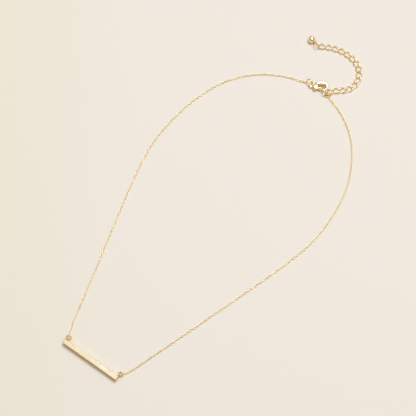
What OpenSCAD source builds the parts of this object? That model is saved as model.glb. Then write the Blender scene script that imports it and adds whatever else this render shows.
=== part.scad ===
// Bar pendant necklace: a polished bar on a fine cable chain, with a lobster clasp and an extender.
// It lies flat. +X runs along the bar, +Y from the bar to the clasp, and Z = 0 is the surface under it.
// The origin is the middle of the bar's underside.

/* [Bar] */
// Length of the bar
bar_length = 28.7; // [22:0.1:34]
// Width of the bar across the face that shows
bar_width = 1.9; // [1.6:0.1:3]
// Thickness of the bar, from its underside to its top face
bar_thick = 2.8; // [2.6:0.1:3.6]
// Rounding of the bar's edges
bar_edge = 0.2; // [0.05:0.05:0.4]
// Outer diameter of the ring soldered behind each end of the bar
bar_ring_d = 2.2; // [2:0.1:2.6]
// Wire of the soldered rings
bar_ring_wire = 0.5; // [0.4:0.05:0.55]
// Distance from the bar's end to the middle of its soldered ring
bar_ring_inset = 0.3; // [0.3:0.05:1]

/* [Chain] */
// Width of the fine cable chain over its links
chain_width = 1.05; // [0.8:0.05:1.4]
// Outer diameter of the jump ring between a soldered ring and the chain
jump_ring_d = 2.35; // [2.2:0.05:2.4]
// Wire of the jump rings
jump_ring_wire = 0.45; // [0.35:0.05:0.5]
// Space between a strand's end and the ring that it joins
chain_seat = 0.15; // [0.1:0.05:0.3]

/* [Clasp] */
// Length of the clasp from the middle of its eye to the nose
clasp_length = 9; // [8.6:0.1:10]
// Width of the clasp from the lever to the back
clasp_width = 5; // [4.8:0.1:5.6]
// Thickness of the clasp at its hub and back
clasp_thick = 2; // [1.8:0.1:2.4]
// Outer diameter of the eye on the clasp's tail
eye_d = 2.6; // [2.5:0.1:3]
// Wire of the eye
eye_wire = 0.65; // [0.5:0.05:0.7]
// Outer diameter of the hub that holds the lever's pin
hub_d = 2.2; // [2:0.1:2.4]
// Diameter of the lever's pin
pin_d = 0.6; // [0.5:0.05:0.7]
// Reach of the lever from its pin to its tip
lever_reach = 3.2; // [3:0.05:3.3]
// Thickness of the lever where it sits in the hub's slot
lever_thick = 0.7; // [0.6:0.05:0.9]
// Running clearance of the lever on its pin and in its slot
lever_clear = 0.06; // [0.04:0.01:0.1]

/* [Rings at the clasp] */
// Outer diameter of the ring between the left strand and the clasp
clasp_ring_d = 3.6; // [3.4:0.1:4]
// Outer diameter of the ring that the clasp hooks
join_ring_d = 4.1; // [4:0.05:4.4]
// Wire of these two rings
ring_wire = 0.6; // [0.5:0.05:0.6]
// Outer diameter of the ring between the right strand and the join ring
strand_ring_d = 3; // [2.9:0.1:3.2]
// Wire of the strand ring
strand_ring_wire = 0.5; // [0.4:0.05:0.5]

/* [Extender] */
// Distance from one extender link to the next
link_pitch = 3.18; // [3:0.02:3.3]
// Width of an extender link
link_width = 3.05; // [2.9:0.05:3.2]
// Wire of the extender links
link_wire = 0.55; // [0.45:0.05:0.6]
// Twist of a link from end to end, which lets the links lie flat
link_twist = 90; // [80:2:100]
// Play between two links
link_play = 0.2; // [0.1:0.02:0.3]

/* [Ball] */
// Diameter of the ball at the extender's end
ball_d = 3.5; // [3:0.1:4]
// Outer diameter of the ball's eye
ball_eye_d = 1.85; // [1.8:0.05:2.1]
// Outer diameter of the ring that carries the ball
ball_ring_d = 3.45; // [3.3:0.05:3.7]
// Wire of the ball's eye and ring
ball_wire = 0.45; // [0.35:0.05:0.5]

/* [Hidden] */
gold = "#d8a848";
link_count = 15;
function two_digits(n) = n < 10 ? str("0", n) : str(n);
LINKS = [for (n = [1:link_count]) str("extender_link_", two_digits(n))];

// Facets of the exact round shapes, and of the swept ones
round_fn = 96;
wire_fn = 48;
tube_sides = 8;
tube_rings = 40;
link_steps = 16;
link_sides = 6;
claw_sides = 14;
route_steps = 12;

// How the loop lies to the bar: it is turned a little, and lies a little further back
loop_turn = -1.1;
loop_back = 0.45;

// Middle of each strand before that turn, from the bar to the clasp
LEFT_ROUTE = [[-15.9, 6.5], [-17.2, 10], [-20, 20], [-25.8, 40], [-31.7, 60], [-37.2, 80], [-39.5, 90],
              [-40.8, 100], [-40.7, 110], [-39.7, 120], [-37.6, 130], [-34, 140], [-30, 146.8],
              [-25, 152.8], [-20, 157.1], [-15, 160.1], [-10, 162.5], [-5, 164.1]];
RIGHT_ROUTE = [[16.3, 5], [18.2, 10], [21.5, 20], [28.1, 40], [34.7, 60], [41.1, 80], [44, 90],
               [46.1, 100], [46.9, 110], [46.4, 120], [44.7, 130], [41, 140], [35, 149.8],
               [30, 155.3], [25, 159.1], [20, 161.9], [15, 163.8]];
// Middle of the extender before that turn, from its second joint to just past its end
EXTENDER_ROUTE = [[11.4, 169], [14, 171.1], [16.4, 173.3], [18, 176.5], [17.9, 180.3], [16.2, 184.4],
                  [13.3, 187.1], [9, 188.7], [4.3, 189.1], [0, 188.3], [-4.8, 186.2], [-10.5, 183]];

// Where the clasp lies: the middle of its tail ring, and the way its tail and its length point
clasp_ring_at = laid([0.13, 165.63]);
clasp_ring_heading = loop_turn - 10;
clasp_ring_tilt = 58;
clasp_tail_heading = loop_turn - 12;
clasp_heading = loop_turn + 16.8;
clasp_lift = 0.7;

// Sections of the claw from the hub round to the nose, as shares of the clasp's length, width and thickness
// along, across, half width in the claw's plane (of the width), half thickness
CLAW = [[0.263, -0.03, 0.19, 0.5],
        [0.272, 0.22, 0.21, 0.5],
        [0.367, 0.41, 0.215, 0.5],
        [0.509, 0.5, 0.225, 0.48],
        [0.633, 0.53, 0.2, 0.44],
        [0.739, 0.46, 0.15, 0.39],
        [0.795, 0.3, 0.106, 0.33],
        [0.802, 0.12, 0.086, 0.27],
        [0.763, -0.05, 0.076, 0.23],
        [0.691, -0.15, 0.068, 0.21],
        [0.635, -0.185, 0.05, 0.16],
        [0.622, -0.19, 0.02, 0.07]];
// Sections of the lever's arm, as shares of its reach, half width (of the clasp's width) and
// half thickness (of the clasp's thickness)
ARM = [[0, 0.1, 0.16],
       [0.44, 0.11, 0.16],
       [0.52, 0.13, 0.38],
       [0.75, 0.12, 0.34],
       [0.92, 0.09, 0.25],
       [0.985, 0.055, 0.15],
       [1, 0.03, 0.07]];

// The clasp's frame: its eye is the origin
pivot = [0.252 * clasp_length, -0.15 * clasp_width];
lever_rest = 4.9;
slot = lever_thick + 2 * lever_clear;
clasp_z = clasp_lift + clasp_thick / 2;
clasp_at = clasp_ring_at + mid_r(clasp_ring_d, ring_wire) * unit2(clasp_tail_heading);

// The join ring crosses the claw's opening just past the lever's tip, and leans over the nose
join_gap = 0.135;
join_pass = pivot + (lever_reach + ring_wire / 2 + join_gap) * unit2(10);
join_heading = 143.2;
join_tilt = 53;
join_mid = join_pass - mid_r(join_ring_d, ring_wire) * unit2(join_heading);
join_at = in_world(join_mid, clasp_z + 0.2);

// The strand ring hangs in the join ring
strand_out = 0.643 * (mid_r(join_ring_d, ring_wire) + mid_r(strand_ring_d, strand_ring_wire));
strand_at = [join_at.x, join_at.y, 0] + flat3(strand_out * unit2(loop_turn - 21.6), 1.46);
strand_heading = loop_turn + 13;
strand_tilt = 54.3;

// Joints between the extender's links, a pitch apart along its route
link_half = (link_pitch + link_wire + link_play) / 2;
link_z = link_wire / 2 + 0.38 * (link_width - link_wire) / 2;
extender_lift = 0.16;
extender_start = [join_at.x, join_at.y] + 0.52 * mid_r(join_ring_d, ring_wire) * unit2(loop_turn - 2.2);
extender_path = smooth(concat([extender_start], [for (p = EXTENDER_ROUTE) laid(p)]));
extender_run = running(extender_path);
joints = [for (k = [0:link_count])
    flat3(along(extender_path, extender_run, k * link_pitch), link_z + (k == 0 ? extender_lift : 0))];

// The ball hangs in its ring on the last link
ball_ring_r = mid_r(ball_ring_d, ball_wire);
ball_ring_at = joints[link_count] + flat3(0.613 * ball_ring_r * unit2(loop_turn + 202.4), 0.6);
ball_ring_heading = loop_turn + 157;
ball_ring_tilt = 37;
ball_eye_out = (ball_ring_r - 0.1) * unit2(loop_turn + 154);
ball_eye_at = [ball_ring_at.x, ball_ring_at.y, 0] + flat3(ball_eye_out, 1.31);
ball_heading = loop_turn + 175.4;
ball_eye_tilt = 60;
ball_out = ball_d / 2 + mid_r(ball_eye_d, ball_wire) - 0.05;
ball_at = [ball_eye_at.x, ball_eye_at.y, 0] + flat3(ball_out * unit2(ball_heading), ball_d / 2);

// The bar's soldered rings stand upright on its back face, and the jump rings lean in them
bar_ring_out = bar_width / 2 + mid_r(bar_ring_d, bar_ring_wire);
bar_ring_at = [bar_length / 2 - bar_ring_inset, bar_ring_out, bar_thick / 2];
jump_slack = 0.2;
jump_lean = 27;
left_jump_heading = 80;
right_jump_heading = 74;
left_jump_at = jump_at([-bar_ring_at.x, bar_ring_at.y, bar_ring_at.z], left_jump_heading);
right_jump_at = jump_at(bar_ring_at, right_jump_heading);
clasp_ring_mid = flat3(clasp_ring_at, clasp_z);

// Radius of a ring's wire centre
function mid_r(d, wire) = (d - wire) / 2;
function unit2(a) = [cos(a), sin(a)];
function flat3(p, z) = [p.x, p.y, z];
function unit(v) = v / norm(v);
// A point of the clasp's own frame, where it lies
function in_world(p, z) = [clasp_at.x + p.x * cos(clasp_heading) - p.y * sin(clasp_heading),
                           clasp_at.y + p.x * sin(clasp_heading) + p.y * cos(clasp_heading), z];
// Where a point of the loop lies beside the bar
function laid(p) = [p.x * cos(loop_turn) - p.y * sin(loop_turn),
                    p.x * sin(loop_turn) + p.y * cos(loop_turn) + loop_back];
// The middle of a jump ring that passes through a soldered ring and leans down along a heading
function jump_at(p, heading) =
    let (r = mid_r(jump_ring_d, jump_ring_wire))
    p + flat3((jump_slack + r * cos(jump_lean)) * unit2(heading), -r * sin(jump_lean));

// A smooth curve through points or table rows
function catmull(a, b, c, d, t) =
    0.5 * (2 * b + (c - a) * t + (2 * a - 5 * b + 4 * c - d) * t * t + (3 * b - a - 3 * c + d) * t * t * t);
function smooth(p, n = route_steps) = let (last = len(p) - 1)
    concat([for (i = [0:last - 1]) for (k = [0:n - 1])
                catmull(p[max(i - 1, 0)], p[i], p[i + 1], p[min(i + 2, last)], k / n)], [p[last]]);
// Running length at each point, and the point at a given length
function step_length(p, i) = i + 1 < len(p) ? norm(p[i + 1] - p[i]) : 0;
function running(p) = [for (i = 0, s = 0; i < len(p); s = s + step_length(p, i), i = i + 1) s];
function along(p, run, s) =
    [for (k = [0:len(p[0]) - 1]) lookup(s, [for (i = [0:len(p) - 1]) [run[i], p[i][k]]])];

// The strand from one ring to another: it stands off the rings, and rests on the surface between them
function strand_end(ring_mid, ring_d, toward) =
    let (way = unit([toward.x - ring_mid.x, toward.y - ring_mid.y]))
    flat3([ring_mid.x, ring_mid.y] + (ring_d / 2 + chain_seat) * way, (ring_mid.z + chain_width / 2) / 2);
function strand_path(from_mid, from_d, route, to_mid, to_d) =
    let (lying = [for (p = route) flat3(laid(p), chain_width / 2)],
         path = smooth(concat([strand_end(from_mid, from_d, lying[0])], lying,
                              [strand_end(to_mid, to_d, lying[len(lying) - 1])])))
    [for (p = path) flat3(p, max(p.z, chain_width / 2))];

// A swept solid: rings of points round a path, with a width and a height at each point
module sweep(path, ups, halves, sides, closed = false) {
    n = len(path);
    spin = 180 / sides;
    points = [for (i = [0:n - 1])
        let (ahead = closed ? path[(i + 1) % n] : path[min(i + 1, n - 1)],
             behind = closed ? path[(i + n - 1) % n] : path[max(i - 1, 0)],
             t = unit(ahead - behind),
             up = unit(ups[i] - (ups[i] * t) * t),
             side = cross(t, up))
        for (k = [0:sides - 1])
            let (a = spin + 360 * k / sides)
            path[i] + halves[i][0] * cos(a) * side + halves[i][1] * sin(a) * up];
    last = closed ? n - 1 : n - 2;
    walls = [for (i = [0:last]) for (k = [0:sides - 1])
        let (a = i * sides, b = ((i + 1) % n) * sides, j = (k + 1) % sides)
        for (f = [[a + k, a + j, b + j], [a + k, b + j, b + k]]) f];
    caps = closed ? [] : [[for (k = [sides - 1:-1:0]) k], [for (k = [0:sides - 1]) (n - 1) * sides + k]];
    polyhedron(points = points, faces = concat(walls, caps));
}

// A round ring: heading is the way its level diameter points, and tilt lifts the side to the left of that
module ring(at, heading, tilt, d, wire) {
    translate(at) rotate([0, 0, heading]) rotate([tilt, 0, 0])
        rotate_extrude($fn = round_fn) translate([mid_r(d, wire), 0]) circle(d = wire, $fn = wire_fn);
}

module rounded_rect(x, y, r) {
    square([x - 2 * r, y], center = true);
    square([x, y - 2 * r], center = true);
    for (i = [-1, 1]) for (j = [-1, 1])
        translate([i * (x / 2 - r), j * (y / 2 - r)]) circle(r = r, $fn = wire_fn);
}

// A box with all its edges rounded, centred on the origin
module rounded_box(x, y, z, r) {
    intersection() {
        linear_extrude(z, center = true) rounded_rect(x, y, r);
        rotate([90, 0, 0]) linear_extrude(y, center = true) rounded_rect(x, z, r);
        rotate([90, 0, 90]) linear_extrude(x, center = true) rounded_rect(y, z, r);
    }
}

// A disc with rounded rims, centred on the origin
module puck(r, thick, edge) {
    rotate_extrude($fn = round_fn) {
        translate([0, -thick / 2 + edge]) square([r, thick - 2 * edge]);
        translate([0, -thick / 2]) square([r - edge, thick]);
        for (s = [-1, 1]) translate([r - edge, s * (thick / 2 - edge)]) circle(r = edge, $fn = wire_fn);
    }
}

module bar() {
    color(gold) union() {
        translate([0, 0, bar_thick / 2]) rounded_box(bar_length, bar_width, bar_thick, bar_edge);
        for (s = [-1, 1])
            ring([s * bar_ring_at.x, bar_ring_at.y, bar_ring_at.z], 90, 90, bar_ring_d, bar_ring_wire);
    }
}

module jump_ring_left() {
    color(gold) ring(left_jump_at, left_jump_heading - 90, -jump_lean, jump_ring_d, jump_ring_wire);
}

module jump_ring_right() {
    color(gold) ring(right_jump_at, right_jump_heading - 90, -jump_lean, jump_ring_d, jump_ring_wire);
}

// A strand of the fine chain, as one tube of the chain's outer size
module strand(path) {
    run = running(path);
    stops = [for (i = [0:tube_rings - 1]) along(path, run, run[len(run) - 1] * i / (tube_rings - 1))];
    flat_r = chain_width / 2 / cos(180 / tube_sides);
    sweep(stops, [for (p = stops) [0, 0, 1]], [for (p = stops) [flat_r, flat_r]], tube_sides);
}

module chain_left() {
    color(gold) strand(strand_path(left_jump_at, jump_ring_d, LEFT_ROUTE, clasp_ring_mid, clasp_ring_d));
}

module chain_right() {
    color(gold) strand(strand_path(right_jump_at, jump_ring_d, RIGHT_ROUTE, strand_at, strand_ring_d));
}

module clasp_ring() {
    color(gold) ring(clasp_ring_mid, clasp_ring_heading, clasp_ring_tilt, clasp_ring_d, ring_wire);
}

// Places the clasp's own frame
module in_clasp() {
    translate(flat3(clasp_at, clasp_z)) rotate([0, 0, clasp_heading]) children();
}

module claw() {
    rows = smooth(CLAW, 3);
    sweep([for (r = rows) [r[0] * clasp_length, r[1] * clasp_width, 0]],
          [for (r = rows) [0, 0, 1]],
          [for (r = rows) [r[2] * clasp_width, r[3] * clasp_thick]], claw_sides);
}

module clasp_body() {
    neck_r = 0.72;
    pin_hole_r = pin_d / 2 + 0.02;
    slot_r = hub_d / 2 - 0.18;
    slot_back = 0.45;
    slot_in = 1.65;
    color(gold) in_clasp() difference() {
        union() {
            ring([0, 0, 0], 0, 0, eye_d, eye_wire);
            translate([eye_d / 2 + 0.05, pivot.y / 2, 0]) puck(neck_r, 0.75 * clasp_thick, 0.3);
            translate(flat3(pivot, 0)) puck(hub_d / 2, clasp_thick, 0.3);
            claw();
        }
        translate(flat3(pivot, 0)) {
            cylinder(h = 2 * clasp_thick, r = pin_hole_r, center = true, $fn = wire_fn);
            cylinder(h = slot, r = slot_r, center = true, $fn = wire_fn);
        }
        translate([pivot.x - slot_back, pivot.y - hub_d, -slot / 2]) cube([1.8, hub_d + slot_in, slot]);
    }
}

// The lever's arm with its tab for the thumb; it turns on the pin, into the claw
module clasp_lever() {
    hub_r = hub_d / 2 - 0.3;
    tab_r = 0.3;
    tab_out = hub_d / 2;
    color(gold) in_clasp() translate(flat3(pivot, 0)) difference() {
        union() {
            puck(hub_r, lever_thick, 0.1);
            rotate([0, 0, lever_rest]) arm();
            translate([0, -tab_out / 2, 0]) cube([2 * tab_r, tab_out, 0.9 * lever_thick], center = true);
            translate([0, -tab_out, 0]) puck(tab_r, 0.9 * lever_thick, 0.08);
        }
        cylinder(h = 2 * clasp_thick, r = pin_d / 2 + lever_clear, center = true, $fn = wire_fn);
    }
}

module arm() {
    rows = smooth(ARM, 3);
    sweep([for (r = rows) [r[0] * lever_reach, 0, 0]],
          [for (r = rows) [0, 0, 1]],
          [for (r = rows) [r[1] * clasp_width, r[2] * clasp_thick]], claw_sides);
}

module clasp_pin() {
    color(gold) in_clasp() translate(flat3(pivot, 0))
        cylinder(h = clasp_thick, d = pin_d, center = true, $fn = wire_fn);
}

module join_ring() {
    color(gold) ring(join_at, clasp_heading + join_heading, join_tilt, join_ring_d, ring_wire);
}

module strand_ring() {
    color(gold) ring(strand_at, strand_heading, strand_tilt, strand_ring_d, strand_ring_wire);
}

// An oval link from one joint to the next, twisted along its length
module extender_link(n) {
    from = joints[n - 1];
    to = joints[n];
    way = unit(to - from);
    side = unit(cross([0, 0, 1], way));
    rise = cross(way, side);
    across = (link_width - link_wire) / 2;
    turns = [for (k = [0:link_steps - 1]) 360 * k / link_steps];
    function lean(f) = -link_twist / 2 * cos(f);
    function outward(f) = cos(lean(f)) * side + sin(lean(f)) * rise;
    loop = [for (f = turns) (from + to) / 2 + link_half * cos(f) * way + across * sin(f) * outward(f)];
    color(gold) sweep(loop, [for (f = turns) cross(way, outward(f))],
                      [for (f = turns) [link_wire / 2, link_wire / 2]], link_sides, true);
}

module ball_ring() {
    color(gold) ring(ball_ring_at, ball_ring_heading, ball_ring_tilt, ball_ring_d, ball_wire);
}

module ball_drop() {
    color(gold) union() {
        translate(ball_at) sphere(d = ball_d, $fn = round_fn);
        ring(ball_eye_at, ball_heading - 180, ball_eye_tilt, ball_eye_d, ball_wire);
    }
}

bar();
jump_ring_left();
jump_ring_right();
chain_left();
chain_right();
clasp_ring();
clasp_body();
clasp_lever();
clasp_pin();
join_ring();
strand_ring();
for (n = [1:link_count])
    extender_link(n);
ball_ring();
ball_drop();
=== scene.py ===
"""Dresses the bar pendant necklace: its fine chain, extender, clasp and gold finishes, on a pale table."""

import math

import bmesh
import bpy
from bpy.props import FloatProperty, FloatVectorProperty, IntProperty, PointerProperty
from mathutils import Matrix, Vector


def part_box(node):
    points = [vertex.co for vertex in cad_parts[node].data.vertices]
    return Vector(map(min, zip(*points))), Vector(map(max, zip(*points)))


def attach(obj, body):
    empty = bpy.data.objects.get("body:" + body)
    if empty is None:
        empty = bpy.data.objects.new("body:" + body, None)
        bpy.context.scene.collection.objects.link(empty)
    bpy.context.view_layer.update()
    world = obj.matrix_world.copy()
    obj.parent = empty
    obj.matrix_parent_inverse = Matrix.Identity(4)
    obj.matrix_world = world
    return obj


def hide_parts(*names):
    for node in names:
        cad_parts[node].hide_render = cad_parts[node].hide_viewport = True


bl_info = {
    "name": "Bar pendant necklace",
    "version": (1, 0, 0),
    "blender": (4, 5, 0),
    "location": "3D View > Sidebar > Pendant",
    "description": "Builds the chains, links, clasp and gold finishes of a bar pendant necklace",
    "category": "Add Mesh",
}

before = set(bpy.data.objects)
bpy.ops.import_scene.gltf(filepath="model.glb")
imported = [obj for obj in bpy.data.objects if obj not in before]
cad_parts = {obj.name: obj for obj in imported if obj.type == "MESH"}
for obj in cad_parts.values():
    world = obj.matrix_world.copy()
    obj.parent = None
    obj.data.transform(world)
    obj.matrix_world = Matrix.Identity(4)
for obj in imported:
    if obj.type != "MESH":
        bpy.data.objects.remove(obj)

MM = 0.001
UP = Vector((0, 0, 1))
LINKS = sorted(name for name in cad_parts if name.startswith("extender_link_"))

# How the loop lies to the bar: it is turned a little, and lies a little further back
LOOP_TURN = math.radians(-1.1)
LOOP_BACK = 0.45 * MM

# Rings that the chains and the extender hook, as the part's source has them
JUMP_RING_WIRE = 0.45 * MM
STRAND_RING_WIRE = 0.5 * MM
RING_WIRE = 0.6 * MM
JOIN_RING_D = 4.1 * MM

# Colours of the lights
KEY_COLOUR = (0.88, 0.96, 1.0)
CEILING_COLOUR = (0.84, 0.94, 1.0)
CARD_COLOUR = (1.0, 0.98, 0.95)
GLOW_COLOUR = (1.0, 0.97, 0.9)
ROOM_COLOUR = (1.0, 0.75, 0.38)

# Middle of each strand before that turn, from the bar to the clasp, in millimetres
LEFT_ROUTE = [
    (-15.9, 6.5), (-17.2, 10), (-20, 20), (-25.8, 40), (-31.7, 60), (-37.2, 80), (-39.5, 90),
    (-40.8, 100), (-40.7, 110), (-39.7, 120), (-37.6, 130), (-34, 140), (-30, 146.8),
    (-25, 152.8), (-20, 157.1), (-15, 160.1), (-10, 162.5), (-5, 164.1),
]
RIGHT_ROUTE = [
    (16.3, 5), (18.2, 10), (21.5, 20), (28.1, 40), (34.7, 60), (41.1, 80), (44, 90),
    (46.1, 100), (46.9, 110), (46.4, 120), (44.7, 130), (41, 140), (35, 149.8),
    (30, 155.3), (25, 159.1), (20, 161.9), (15, 163.8),
]
# Middle of the extender before that turn, from its second joint to just past its end, in millimetres
EXTENDER_ROUTE = [
    (11.4, 169), (14, 171.1), (16.4, 173.3), (18, 176.5), (17.9, 180.3), (16.2, 184.4),
    (13.3, 187.1), (9, 188.7), (4.3, 189.1), (0, 188.3), (-4.8, 186.2), (-10.5, 183),
]


class ChainSizes(bpy.types.PropertyGroup):
    """Sizes of the fine cable chain"""

    pitch: FloatProperty(name="Pitch", description="Distance from one link to the next",
                         default=1.045 * MM, unit="LENGTH")
    width: FloatProperty(name="Width", description="Outer width of a link",
                         default=1.0 * MM, unit="LENGTH")
    wire: FloatProperty(name="Wire", description="Thickness of a link's wire",
                        default=0.26 * MM, unit="LENGTH")
    play: FloatProperty(name="Play", description="Space between two links",
                        default=0.05 * MM, unit="LENGTH")
    hook_room: FloatProperty(name="Hook room", description="Space between a ring's wire and the link on it",
                             default=0.06 * MM, unit="LENGTH")
    lift: FloatProperty(name="Lift", description="Space between the upright links and the table",
                        default=0.02 * MM, unit="LENGTH")
    roll: FloatProperty(name="Roll", description="Turn of each link out of the level or the upright",
                        default=math.radians(5), subtype="ANGLE")
    roll_change: FloatProperty(name="Roll change", description="Share of that turn that varies",
                               default=0.6, min=0, max=1)
    roll_phase: FloatProperty(name="Roll phase", description="Step of that variation from link to link",
                              default=0.9)
    hook_roll: FloatProperty(name="Hook roll", description="Turn of the link on a jump ring of the bar",
                             default=math.radians(65), subtype="ANGLE")
    steps: IntProperty(name="Steps", description="Sections round a link", default=20)
    sides: IntProperty(name="Sides", description="Sides of a link's wire", default=8)


class ExtenderSizes(bpy.types.PropertyGroup):
    """Sizes of the extender's links"""

    pitch: FloatProperty(name="Pitch", description="Distance from one link to the next",
                         default=3.18 * MM, unit="LENGTH")
    width: FloatProperty(name="Width", description="Outer width of a link",
                         default=3.05 * MM, unit="LENGTH")
    wire: FloatProperty(name="Wire", description="Thickness of a link's wire",
                        default=0.52 * MM, unit="LENGTH")
    play: FloatProperty(name="Play", description="Space between two links",
                        default=0.2 * MM, unit="LENGTH")
    twist: FloatProperty(name="Twist", description="Twist of a link from end to end",
                         default=math.radians(90), subtype="ANGLE")
    rise: FloatProperty(name="Rise", description="Share of a link's half width that its middle is raised by",
                        default=0.38)
    heading: FloatProperty(name="Heading", description="Direction of the first joint in the large ring",
                           default=math.radians(-2.2), subtype="ANGLE")
    hook_reach: FloatProperty(name="Hook reach", description="Share of the ring's radius that it lies out at",
                              default=0.52)
    hook_lift: FloatProperty(name="Hook lift", description="How much higher that joint is",
                             default=0.16 * MM, unit="LENGTH")
    steps: IntProperty(name="Steps", description="Sections round a link", default=56)
    sides: IntProperty(name="Sides", description="Sides of a link's wire", default=14)


class Finishes(bpy.types.PropertyGroup):
    """Colours and polish of the gold parts"""

    # Bar top and bar sides are lit and shaded copies of one gold: the paler top is painted light, the deeper
    # sides painted shade.
    bar: FloatVectorProperty(name="Bar top", description="Colour of the bar where it faces up",
                             subtype="COLOR", default=(0.85, 0.765, 0.60), min=0, max=1)
    sides: FloatVectorProperty(name="Bar sides", description="Colour of the bar's sides",
                               subtype="COLOR", default=(0.82, 0.52, 0.14), min=0, max=1)
    rings: FloatVectorProperty(name="Rings", description="Colour of the rings at the clasp and the ball",
                               subtype="COLOR", default=(0.94, 0.72, 0.40), min=0, max=1)
    # Painted shade: the two rings at the bar take a darker copy of the ring gold, for the shade where they
    # meet the bar.
    shaded_jump_rings: FloatVectorProperty(name="Jump rings", description="Colour of the two rings at the bar",
                                    subtype="COLOR", default=(0.82, 0.56, 0.24), min=0, max=1)
    clasp: FloatVectorProperty(name="Clasp", description="Colour of the lobster clasp and its lever",
                               subtype="COLOR", default=(0.90, 0.74, 0.50), min=0, max=1)
    ball: FloatVectorProperty(name="Ball", description="Colour of the small ball at the end", subtype="COLOR",
                              default=(0.95, 0.82, 0.64), min=0, max=1)
    chain: FloatVectorProperty(name="Fine chain", description="Colour of the fine chain", subtype="COLOR",
                               default=(0.94, 0.79, 0.51), min=0, max=1)
    links: FloatVectorProperty(name="Extender", description="Colour of the extender's links", subtype="COLOR",
                               default=(0.98, 0.79, 0.49), min=0, max=1)
    bar_rough: FloatProperty(name="Bar roughness", description="Roughness of the polished bar",
                             default=0.08, min=0, max=1)
    cast_rough: FloatProperty(name="Clasp roughness", description="Roughness of the clasp and the rings",
                              default=0.16, min=0, max=1)
    ball_rough: FloatProperty(name="Ball roughness", description="Roughness of the small ball",
                              default=0.06, min=0, max=1)
    chain_rough: FloatProperty(name="Chain roughness", description="Roughness of the fine chain",
                               default=0.34, min=0, max=1)
    link_rough: FloatProperty(name="Link roughness", description="Roughness of the extender's links",
                              default=0.26, min=0, max=1)
    metal: FloatProperty(name="Metal", description="Share of the small parts' colour that is reflection",
                         default=0.88, min=0, max=1)
    table: FloatVectorProperty(name="Table", description="Colour of the table", subtype="COLOR",
                               default=(0.762, 0.715, 0.705), min=0, max=1)
    # Painted shade: the table is darker and yellower toward its left, for the light's falloff across the
    # picture.
    table_shaded_edge: FloatVectorProperty(name="Table edge", description="Colour of the table at its left",
                                    subtype="COLOR", default=(0.748, 0.714, 0.654), min=0, max=1)


class Studio(bpy.types.PropertyGroup):
    """Where the camera and the lights stand"""

    azimuth: FloatProperty(name="Azimuth", description="Direction that the camera looks from",
                           default=math.radians(35.2), subtype="ANGLE")
    elevation: FloatProperty(name="Elevation", description="Height of the camera above the horizon",
                             default=math.radians(68.6), subtype="ANGLE")
    distance: FloatProperty(name="Distance", description="From the camera to the point that it looks at",
                            default=563 * MM, unit="LENGTH")
    target: FloatVectorProperty(name="Target", description="Point that the camera looks at",
                                default=(0.57 * MM, 87.28 * MM, 0), unit="LENGTH")
    lens: FloatProperty(name="Lens", description="Focal length in millimetres", default=107.5)
    key: FloatProperty(name="Key light", description="Power of the softbox high behind the necklace",
                       default=11.5, unit="POWER")
    key_size: FloatProperty(name="Key size", description="Diameter of that softbox",
                            default=0.45, unit="LENGTH")
    key_elevation: FloatProperty(name="Key elevation", description="Height of that softbox above the horizon",
                                 default=math.radians(73), subtype="ANGLE")
    key_distance: FloatProperty(name="Key distance", description="Distance of that softbox and the card",
                                default=1.4, unit="LENGTH")
    ceiling: FloatProperty(name="Ceiling light", description="Power of the wide diffuser overhead",
                           default=5.8, unit="POWER")
    ceiling_size: FloatProperty(name="Ceiling size", description="Diameter of that diffuser",
                                default=1.8, unit="LENGTH")
    ceiling_height: FloatProperty(name="Ceiling height", description="Height of that diffuser",
                                  default=1.0, unit="LENGTH")
    ceiling_shift: FloatProperty(name="Ceiling shift", description="How far it is moved toward the camera",
                                 default=0.15, unit="LENGTH")
    card: FloatProperty(name="Card light", description="Power of the low card that only the gold shows",
                        default=2.3, unit="POWER")
    card_width: FloatProperty(name="Card width", description="Width of that card",
                              default=0.9, unit="LENGTH")
    card_height: FloatProperty(name="Card height", description="Height of that card",
                               default=0.35, unit="LENGTH")
    card_elevation: FloatProperty(name="Card elevation", description="Height of that card above the horizon",
                                  default=math.radians(35), subtype="ANGLE")
    card_side: FloatProperty(name="Card side", description="Share of its distance that it stands to the right",
                             default=-0.12)
    glow: FloatProperty(name="Glow", description="Power of the light that the bar's back throws down",
                        default=0.000013, unit="POWER")
    glow_reach: FloatProperty(name="Glow reach", description="How far behind the bar that light falls",
                              default=3.6 * MM, unit="LENGTH")
    glow_length: FloatProperty(name="Glow length", description="Length of the strip that it lights",
                               default=28 * MM, unit="LENGTH")
    glow_start: FloatProperty(name="Glow start", description="From the bar's middle line to that strip",
                              default=1.1 * MM, unit="LENGTH")
    glow_height: FloatProperty(name="Glow height", description="Height of that light over the table",
                               default=20 * MM, unit="LENGTH")
    glow_spread: FloatProperty(name="Glow spread", description="Angle that it opens by",
                               default=math.radians(4), subtype="ANGLE")
    table_size: FloatProperty(name="Table size", description="Half the width of the table",
                              default=3.0, unit="LENGTH")
    table_gap: FloatProperty(name="Table gap", description="Space between the table and what lies on it",
                             default=0.01 * MM, unit="LENGTH")
    view_width: FloatProperty(name="View width", description="Half of what the picture shows of the table",
                              default=100 * MM, unit="LENGTH")
    fade: FloatProperty(name="Fade", description="Width of the change to the table's own colour",
                        default=70 * MM, unit="LENGTH")
    room: FloatProperty(name="Room light", description="Strength of the room's own light", default=0.38)


# Curves

def catmull(a, b, c, d, t):
    """A point of the smooth curve between b and c."""
    bend = 2 * a - 5 * b + 4 * c - d
    twist = 3 * b - a - 3 * c + d
    return 0.5 * (2 * b + (c - a) * t + bend * t * t + twist * t * t * t)


def smooth_path(points, steps=12):
    """A smooth curve through points."""
    last = len(points) - 1
    path = []
    for i in range(last):
        a, b, c, d = points[max(i - 1, 0)], points[i], points[i + 1], points[min(i + 2, last)]
        path += [catmull(a, b, c, d, k / steps) for k in range(steps)]
    return path + [points[last]]


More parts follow.
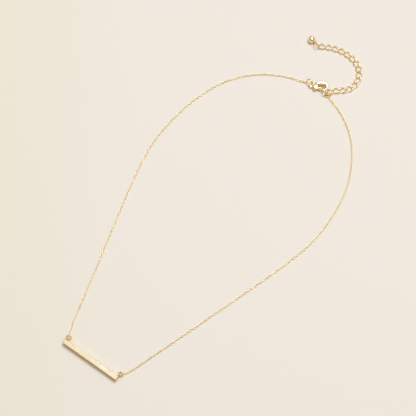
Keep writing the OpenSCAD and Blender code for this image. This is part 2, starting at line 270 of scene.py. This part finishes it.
def running_length(path):
    """The length from the path's start to each of its points."""
    lengths = [0.0]
    for before, after in zip(path, path[1:]):
        lengths.append(lengths[-1] + (after - before).length)
    return lengths


def point_along(path, lengths, distance):
    """The point of the path that lies a distance from its start."""
    for i in range(1, len(path)):
        if distance <= lengths[i] or i == len(path) - 1:
            share = (distance - lengths[i - 1]) / (lengths[i] - lengths[i - 1])
            return path[i - 1].lerp(path[i], share)


def laid(x, y, height):
    """Where a point of the loop lies beside the bar, at a height."""
    along, back = math.cos(LOOP_TURN), math.sin(LOOP_TURN)
    return Vector((x * along - y * back, x * back + y * along + LOOP_BACK, height))


def route(points, height):
    """Route points in millimetres as points in metres, at one height."""
    return [laid(x * MM, y * MM, height) for x, y in points]


def middle(node):
    """The middle of a node's box, which is the middle of a ring."""
    low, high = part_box(node)
    return (low + high) / 2


# Meshes

def new_piece(name, bm, *nodes, body="necklace", slot=None, material=None):
    """Makes an object of a mesh, lets it ride on its body and stand for the nodes given."""
    mesh = bpy.data.meshes.new(name)
    bmesh.ops.recalc_face_normals(bm, faces=bm.faces)
    bm.to_mesh(mesh)
    bm.free()
    mesh.shade_smooth()
    piece = bpy.data.objects.new(name, mesh)
    bpy.context.scene.collection.objects.link(piece)
    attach(piece, body)
    if nodes:
        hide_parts(*nodes)
    if material:
        mesh.materials.append(material)
    return piece


def cast_piece(name, node, body, material, grain=0.06 * MM, passes=6):
    """A casting in place of a node: the node's own form, with its facets and edges polished smooth."""
    blank = bpy.data.objects.new(f"{name}_blank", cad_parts[node].data.copy())
    bpy.context.scene.collection.objects.link(blank)
    remesh = blank.modifiers.new("grain", "REMESH")
    remesh.mode = "VOXEL"
    remesh.voxel_size = grain
    tumble = blank.modifiers.new("tumble", "SMOOTH")
    tumble.iterations = passes
    bpy.context.view_layer.update()
    bm = bmesh.new()
    bm.from_object(blank, bpy.context.evaluated_depsgraph_get())
    bpy.data.objects.remove(blank)
    return new_piece(name, bm, node, body=body, slot="gold", material=material)


def add_wire_loop(bm, centres, ups, radius, sides):
    """Adds a closed loop of round wire along centres; ups say where its sides start."""
    rings = []
    for i, centre in enumerate(centres):
        along = (centres[(i + 1) % len(centres)] - centres[i - 1]).normalized()
        up = (ups[i] - ups[i].dot(along) * along).normalized()
        side = along.cross(up)
        turns = [2 * math.pi * (k + 0.5) / sides for k in range(sides)]
        rings.append([bm.verts.new(centre + radius * math.cos(turn) * side + radius * math.sin(turn) * up)
                      for turn in turns])
    for before, after in zip(rings, rings[1:] + rings[:1]):
        for k in range(sides):
            j = (k + 1) % sides
            bm.faces.new((before[k], before[j], after[j], after[k]))


def add_link(bm, start, end, half_length, half_width, wire, roll, twist, steps, sides):
    """Adds an oval link of round wire between two joints, rolled about its length and twisted along it."""
    way = (end - start).normalized()
    side = UP.cross(way).normalized()
    rise = way.cross(side)
    centres = []
    ups = []
    for k in range(steps):
        turn = 2 * math.pi * k / steps
        lean = roll - twist / 2 * math.cos(turn)
        across = math.cos(lean) * side + math.sin(lean) * rise
        round_link = half_length * math.cos(turn) * way + half_width * math.sin(turn) * across
        centres.append((start + end) / 2 + round_link)
        ups.append(math.cos(lean) * rise - math.sin(lean) * side)
    add_wire_loop(bm, centres, ups, wire / 2, sides)


# Materials

def material_nodes(name):
    """A new node material, with its shader and its nodes."""
    material = bpy.data.materials.new(name)
    material.use_nodes = True
    nodes = material.node_tree.nodes
    return material, nodes, nodes["Principled BSDF"]


def colour_ramp(nodes, low, high, low_colour, high_colour):
    """A ramp from one colour to another, between two positions."""
    ramp = nodes.new("ShaderNodeValToRGB")
    for stop, position, colour in zip(ramp.color_ramp.elements, (low, high), (low_colour, high_colour)):
        stop.position = position
        stop.color = (*colour, 1)
    return ramp


def polished_gold(name, colour, roughness, stretch=(1, 1, 1), tone=0.05, wear=0.1, relief=0.004 * MM,
                  sides=None, metal=1.0):
    """Polished gold plate, uneven in colour by its tone and in polish by its wear, with fine marks; given
    sides, it also has painted shade there.
    """
    material, nodes, shader = material_nodes(name)
    links = material.node_tree.links
    shader.inputs["Metallic"].default_value = metal
    place = nodes.new("ShaderNodeTexCoord")
    scale = nodes.new("ShaderNodeMapping")
    scale.inputs["Scale"].default_value = [s / MM for s in stretch]
    links.new(place.outputs["Object"], scale.inputs["Vector"])
    clouds = nodes.new("ShaderNodeTexNoise")
    clouds.inputs["Scale"].default_value = 0.35
    clouds.inputs["Detail"].default_value = 4
    links.new(scale.outputs["Vector"], clouds.inputs["Vector"])
    deep = [c * (1 - k * tone) for c, k in zip(colour, (1, 1.5, 2))]
    bright = [min(c * (1 + k * tone), 1) for c, k in zip(colour, (1, 1, 0))]
    tint = colour_ramp(nodes, 0.3, 0.7, deep, bright)
    links.new(clouds.outputs["Fac"], tint.inputs["Fac"])
    finish = tint.outputs["Color"]
    # Painted shade: the sides take the deeper colour, and the top keeps the paler, lit one.
    if sides:
        finish = paint_side_shade(nodes, links, sides, finish)
    links.new(finish, shader.inputs["Base Color"])
    marks = nodes.new("ShaderNodeTexNoise")
    marks.inputs["Scale"].default_value = 3.0
    marks.inputs["Detail"].default_value = 6
    links.new(scale.outputs["Vector"], marks.inputs["Vector"])
    polish = nodes.new("ShaderNodeMapRange")
    polish.inputs["To Min"].default_value = roughness
    polish.inputs["To Max"].default_value = roughness + wear
    polish.inputs["From Min"].default_value = 0.35
    polish.inputs["From Max"].default_value = 0.75
    links.new(marks.outputs["Fac"], polish.inputs["Value"])
    links.new(polish.outputs["Result"], shader.inputs["Roughness"])
    bump = nodes.new("ShaderNodeBump")
    bump.inputs["Strength"].default_value = 0.15
    bump.inputs["Distance"].default_value = relief
    links.new(marks.outputs["Fac"], bump.inputs["Height"])
    links.new(bump.outputs["Normal"], shader.inputs["Normal"])
    return material


def paint_side_shade(nodes, links, sides, top):
    """Paints light and shade into a finish: a deeper colour where the metal faces sideways as painted shade,
    the paler top colour where it faces up as painted light.
    """
    surface = nodes.new("ShaderNodeNewGeometry")
    facing = nodes.new("ShaderNodeSeparateXYZ")
    links.new(surface.outputs["Normal"], facing.inputs["Vector"])
    share = nodes.new("ShaderNodeMapRange")
    share.inputs["From Min"].default_value = 0.0
    share.inputs["From Max"].default_value = 0.5
    links.new(facing.outputs["Z"], share.inputs["Value"])
    painted_shade_blend = nodes.new("ShaderNodeMix")
    painted_shade_blend.data_type = "RGBA"
    painted_shade_blend.inputs["A"].default_value = (*sides, 1)
    links.new(share.outputs["Result"], painted_shade_blend.inputs["Factor"])
    links.new(top, painted_shade_blend.inputs["B"])
    return painted_shade_blend.outputs["Result"]


def table_paper(name, colour, shaded_edge_colour, across, edge, fade):
    """Matt pale paper with a faint grain and painted shade: across the picture it goes from a darker, yellower
    edge colour to its own.
    """
    material, nodes, shader = material_nodes(name)
    links = material.node_tree.links
    shader.inputs["Roughness"].default_value = 0.85
    place = nodes.new("ShaderNodeTexCoord")
    grain = nodes.new("ShaderNodeTexNoise")
    grain.inputs["Scale"].default_value = 900
    grain.inputs["Detail"].default_value = 3
    links.new(place.outputs["Object"], grain.inputs["Vector"])
    reach = nodes.new("ShaderNodeVectorMath")
    reach.operation = "DOT_PRODUCT"
    reach.inputs[1].default_value = across
    links.new(place.outputs["Object"], reach.inputs[0])
    share = nodes.new("ShaderNodeMapRange")
    share.inputs["From Min"].default_value = edge
    share.inputs["From Max"].default_value = edge + fade
    links.new(reach.outputs["Value"], share.inputs["Value"])
    tint = colour_ramp(nodes, 0, 1, shaded_edge_colour, colour)
    links.new(share.outputs["Result"], tint.inputs["Fac"])
    links.new(tint.outputs["Color"], shader.inputs["Base Color"])
    bump = nodes.new("ShaderNodeBump")
    bump.inputs["Strength"].default_value = 0.1
    bump.inputs["Distance"].default_value = 0.05 * MM
    links.new(grain.outputs["Fac"], bump.inputs["Height"])
    links.new(bump.outputs["Normal"], shader.inputs["Normal"])
    return material


def dress(node, material):
    """Gives a node of the frame its finish."""
    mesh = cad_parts[node].data
    mesh.materials.clear()
    mesh.materials.append(material)


# Pieces

def ring_wire_toward(node, wire, toward):
    """The middle of a ring's wire on the side that faces a point, as seen from above."""
    low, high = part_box(node)
    centre = (low + high) / 2
    way = Vector((toward.x - centre.x, toward.y - centre.y, 0)).normalized()
    verts = [v.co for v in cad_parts[node].data.vertices]
    side = [p for p in verts if (p - centre).dot(way) > 0
            and abs(Vector((way.y, -way.x, 0)).dot(p - centre)) < 0.6 * wire]
    far = max((p - centre).dot(way) for p in side)
    near = [p for p in side if (p - centre).dot(way) > far - 1.1 * wire]
    return sum(near, Vector()) / len(near)


def strand_mesh(sizes, points, from_node, from_wire, to_node, to_wire):
    """The links of one strand, hooked through the rings at both its ends."""
    lying = route(points, sizes.width / 2 + sizes.lift)
    start = ring_wire_toward(from_node, from_wire, lying[0])
    end = ring_wire_toward(to_node, to_wire, lying[-1])
    path = smooth_path([start, *lying, end])
    path = [Vector((p.x, p.y, max(p.z, lying[0].z))) for p in path]
    lengths = running_length(path)
    inset = (from_wire + to_wire) / 2 - sizes.play
    count = 2 * round(lengths[-1] / sizes.pitch / 2)
    pitch = (lengths[-1] + inset) / count
    bm = bmesh.new()
    first = (sizes.play - from_wire) / 2
    joints = [point_along(path, lengths, first + k * pitch) for k in range(count + 1)]
    for k in range(count):
        wide = {0: from_wire, count - 1: to_wire}.get(k)
        half_width = (sizes.width - sizes.wire) / 2
        if wide:
            half_width = max(half_width, (wide + sizes.wire) / 2 + sizes.hook_room)
        upright = math.pi / 2 if k % 2 == 0 else 0
        lean = sizes.roll * (1 + sizes.roll_change * math.sin(sizes.roll_phase * k))
        roll = sizes.hook_roll if k == 0 else upright + lean
        add_link(bm, joints[k], joints[k + 1], (pitch + sizes.wire + sizes.play) / 2, half_width,
                 sizes.wire, roll, 0, sizes.steps, sizes.sides)
    return bm


class PENDANT_OT_fine_chains(bpy.types.Operator):
    """Builds both strands of fine cable chain, link by link"""

    bl_idname = "pendant.fine_chains"
    bl_label = "Fine chains"

    def execute(self, context):
        sizes = context.scene.pendant_chain
        finishes = context.scene.pendant_finishes
        finish = polished_gold("fine_chain_gold", finishes.chain, finishes.chain_rough, metal=finishes.metal)
        strands = {
            "left": (LEFT_ROUTE, "jump_ring_left", JUMP_RING_WIRE, "clasp_ring", RING_WIRE),
            "right": (RIGHT_ROUTE, "jump_ring_right", JUMP_RING_WIRE, "strand_ring", STRAND_RING_WIRE),
        }
        for side, ends in strands.items():
            new_piece(f"fine_chain_{side}", strand_mesh(sizes, *ends), f"chain_{side}",
                      slot="chain_gold", material=finish)
        return {"FINISHED"}


class PENDANT_OT_extender(bpy.types.Operator):
    """Builds the extender's twisted links, each in place of its node"""

    bl_idname = "pendant.extender"
    bl_label = "Extender links"

    def execute(self, context):
        sizes = context.scene.pendant_extender
        finishes = context.scene.pendant_finishes
        finish = polished_gold("link_gold", finishes.links, finishes.link_rough, metal=finishes.metal)
        ring_middle = middle("join_ring")
        ring_radius = (JOIN_RING_D - RING_WIRE) / 2
        height = sizes.wire / 2 + sizes.rise * (sizes.width - sizes.wire) / 2
        heading = LOOP_TURN + sizes.heading
        reach = sizes.hook_reach * ring_radius * Vector((math.cos(heading), math.sin(heading), 0))
        start = Vector((ring_middle.x + reach.x, ring_middle.y + reach.y, height))
        path = smooth_path([start, *route(EXTENDER_ROUTE, height)])
        lengths = running_length(path)
        joints = [point_along(path, lengths, k * sizes.pitch) for k in range(len(LINKS) + 1)]
        joints[0].z += sizes.hook_lift
        for k, node in enumerate(LINKS):
            bm = bmesh.new()
            add_link(bm, joints[k], joints[k + 1], (sizes.pitch + sizes.wire + sizes.play) / 2,
                     (sizes.width - sizes.wire) / 2, sizes.wire, 0, sizes.twist, sizes.steps, sizes.sides)
            new_piece(f"curb_link_{k + 1:02d}", bm, node, slot="link_gold", material=finish)
        return {"FINISHED"}


class PENDANT_OT_bar(bpy.types.Operator):
    """Polishes the bar, with painted light on its paler top and painted shade on its deeper sides"""

    bl_idname = "pendant.bar"
    bl_label = "Bar"

    def execute(self, context):
        finishes = context.scene.pendant_finishes
        # The bar's top colour is painted light and its sides colour painted shade.
        dress("bar", polished_gold("bar_gold", finishes.bar, finishes.bar_rough, stretch=(0.12, 1, 1),
                                   tone=0.03, sides=finishes.sides))
        return {"FINISHED"}


class PENDANT_OT_rings_and_clasp(bpy.types.Operator):
    """Finishes the rings, the clasp and the ball"""

    bl_idname = "pendant.rings_and_clasp"
    bl_label = "Rings, clasp and ball"

    def execute(self, context):
        finishes = context.scene.pendant_finishes
        ring_gold = polished_gold("ring_gold", finishes.rings, finishes.cast_rough, metal=finishes.metal)
        for node in ("clasp_ring", "join_ring", "strand_ring", "ball_ring"):
            dress(node, ring_gold)
        # The rings at the bar get a darker copy of the gold, painted shade where they meet the bar.
        shaded_jump_gold = polished_gold("shaded_jump_gold", finishes.shaded_jump_rings, finishes.cast_rough)
        for node in ("jump_ring_left", "jump_ring_right"):
            dress(node, shaded_jump_gold)
        clasp_gold = polished_gold("clasp_gold", finishes.clasp, finishes.cast_rough, metal=finishes.metal)
        cast_piece("claw_casting", "clasp_body", "necklace", clasp_gold)
        cast_piece("lever_casting", "clasp_lever", "lever", clasp_gold)
        dress("clasp_pin", clasp_gold)
        dress("ball_drop", polished_gold("ball_gold", finishes.ball, finishes.ball_rough,
                                       metal=finishes.metal))
        return {"FINISHED"}


def softbox(name, power, size, colour, place, target, height=None):
    """A soft light that faces a point: round, or with a height of its own a rectangle."""
    light = bpy.data.lights.new(name, "AREA")
    light.shape = "RECTANGLE" if height else "DISK"
    light.energy = power
    light.size = size
    if height:
        light.size_y = height
    light.color = colour
    lamp = bpy.data.objects.new(name, light)
    bpy.context.scene.collection.objects.link(lamp)
    lamp.location = place
    lamp.rotation_euler = (target - place).to_track_quat("-Z", "Y").to_euler()
    return lamp


class PENDANT_OT_stage(bpy.types.Operator):
    """Sets the table, the lights and the camera"""

    bl_idname = "pendant.stage"
    bl_label = "Stage"

    def execute(self, context):
        scene = context.scene
        studio = scene.pendant_studio
        bm = bmesh.new()
        bmesh.ops.create_grid(bm, x_segments=2, y_segments=2, size=studio.table_size)
        mesh = bpy.data.meshes.new("table")
        bm.to_mesh(mesh)
        bm.free()
        table = bpy.data.objects.new("table", mesh)
        table.location.z = -studio.table_gap
        finishes = scene.pendant_finishes
        target = Vector(studio.target)
        across = Vector((math.cos(studio.azimuth), math.sin(studio.azimuth), 0))
        # The table's fade to a darker, yellower left edge is painted shade.
        mesh.materials.append(table_paper("table_paper", finishes.table, finishes.table_shaded_edge, across,
                                          across.dot(target) - studio.view_width, studio.fade))
        scene.collection.objects.link(table)

        level = Vector((math.sin(studio.azimuth), -math.cos(studio.azimuth), 0))
        to_camera = math.cos(studio.elevation) * level + math.sin(studio.elevation) * UP
        lens = bpy.data.cameras.new("camera")
        lens.sensor_width = 36
        lens.lens = studio.lens
        lens.clip_start = 0.01
        lens.clip_end = 20
        camera = bpy.data.objects.new("camera", lens)
        scene.collection.objects.link(camera)
        camera.location = target + studio.distance * to_camera
        camera.rotation_mode = "QUATERNION"
        camera.rotation_quaternion = (-to_camera).to_track_quat("-Z", "Y")
        scene.camera = camera

        behind = Vector((0, math.cos(studio.key_elevation), math.sin(studio.key_elevation)))
        softbox("key", studio.key, studio.key_size, KEY_COLOUR, target + studio.key_distance * behind, target)
        under = target + studio.ceiling_shift * level
        softbox("ceiling", studio.ceiling, studio.ceiling_size, CEILING_COLOUR,
                under + studio.ceiling_height * UP, under)
        low = Vector((studio.card_side, math.cos(studio.card_elevation), math.sin(studio.card_elevation)))
        card = softbox("card", studio.card, studio.card_width, CARD_COLOUR,
                       target + studio.key_distance * low, target, studio.card_height)
        card.visible_camera = False
        card.visible_diffuse = False
        back = Vector((0, studio.glow_reach / 2 + studio.glow_start, 0))
        glow = softbox("glow", studio.glow, studio.glow_length, GLOW_COLOUR,
                       back + studio.glow_height * UP, back, studio.glow_reach)
        glow.data.spread = studio.glow_spread
        glow.visible_camera = False
        glow.visible_glossy = False
        world = bpy.data.worlds.new("room")
        world.use_nodes = True
        world.node_tree.nodes["Background"].inputs["Color"].default_value = (*ROOM_COLOUR, 1)
        world.node_tree.nodes["Background"].inputs["Strength"].default_value = studio.room
        scene.world = world
        scene.view_settings.view_transform = "Standard"
        return {"FINISHED"}


class PENDANT_PT_pieces(bpy.types.Panel):
    """Lists the necklace's pieces, sizes and finishes"""

    bl_idname = "PENDANT_PT_pieces"
    bl_label = "Bar pendant necklace"
    bl_space_type = "VIEW_3D"
    bl_region_type = "UI"
    bl_category = "Pendant"

    def draw(self, context):
        for operator in OPERATORS:
            self.layout.operator(operator.bl_idname)
        for name, kind in SETTINGS.items():
            box = self.layout.box()
            box.label(text=kind.__doc__)
            group = getattr(context.scene, name)
            for key in kind.__annotations__:
                box.prop(group, key)


SETTINGS = {
    "pendant_chain": ChainSizes,
    "pendant_extender": ExtenderSizes,
    "pendant_finishes": Finishes,
    "pendant_studio": Studio,
}
OPERATORS = (
    PENDANT_OT_fine_chains,
    PENDANT_OT_extender,
    PENDANT_OT_bar,
    PENDANT_OT_rings_and_clasp,
    PENDANT_OT_stage,
)
CLASSES = (*SETTINGS.values(), *OPERATORS, PENDANT_PT_pieces)


def register():
    for cls in CLASSES:
        bpy.utils.register_class(cls)
    for name, kind in SETTINGS.items():
        setattr(bpy.types.Scene, name, PointerProperty(type=kind))


def unregister():
    for name in SETTINGS:
        delattr(bpy.types.Scene, name)
    for cls in reversed(CLASSES):
        bpy.utils.unregister_class(cls)


def main():
    """Builds the necklace and its stage."""
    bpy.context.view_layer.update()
    register()
    for operator in OPERATORS:
        group, name = operator.bl_idname.split(".")
        getattr(getattr(bpy.ops, group), name)()


if __name__ == "__main__":
    main()
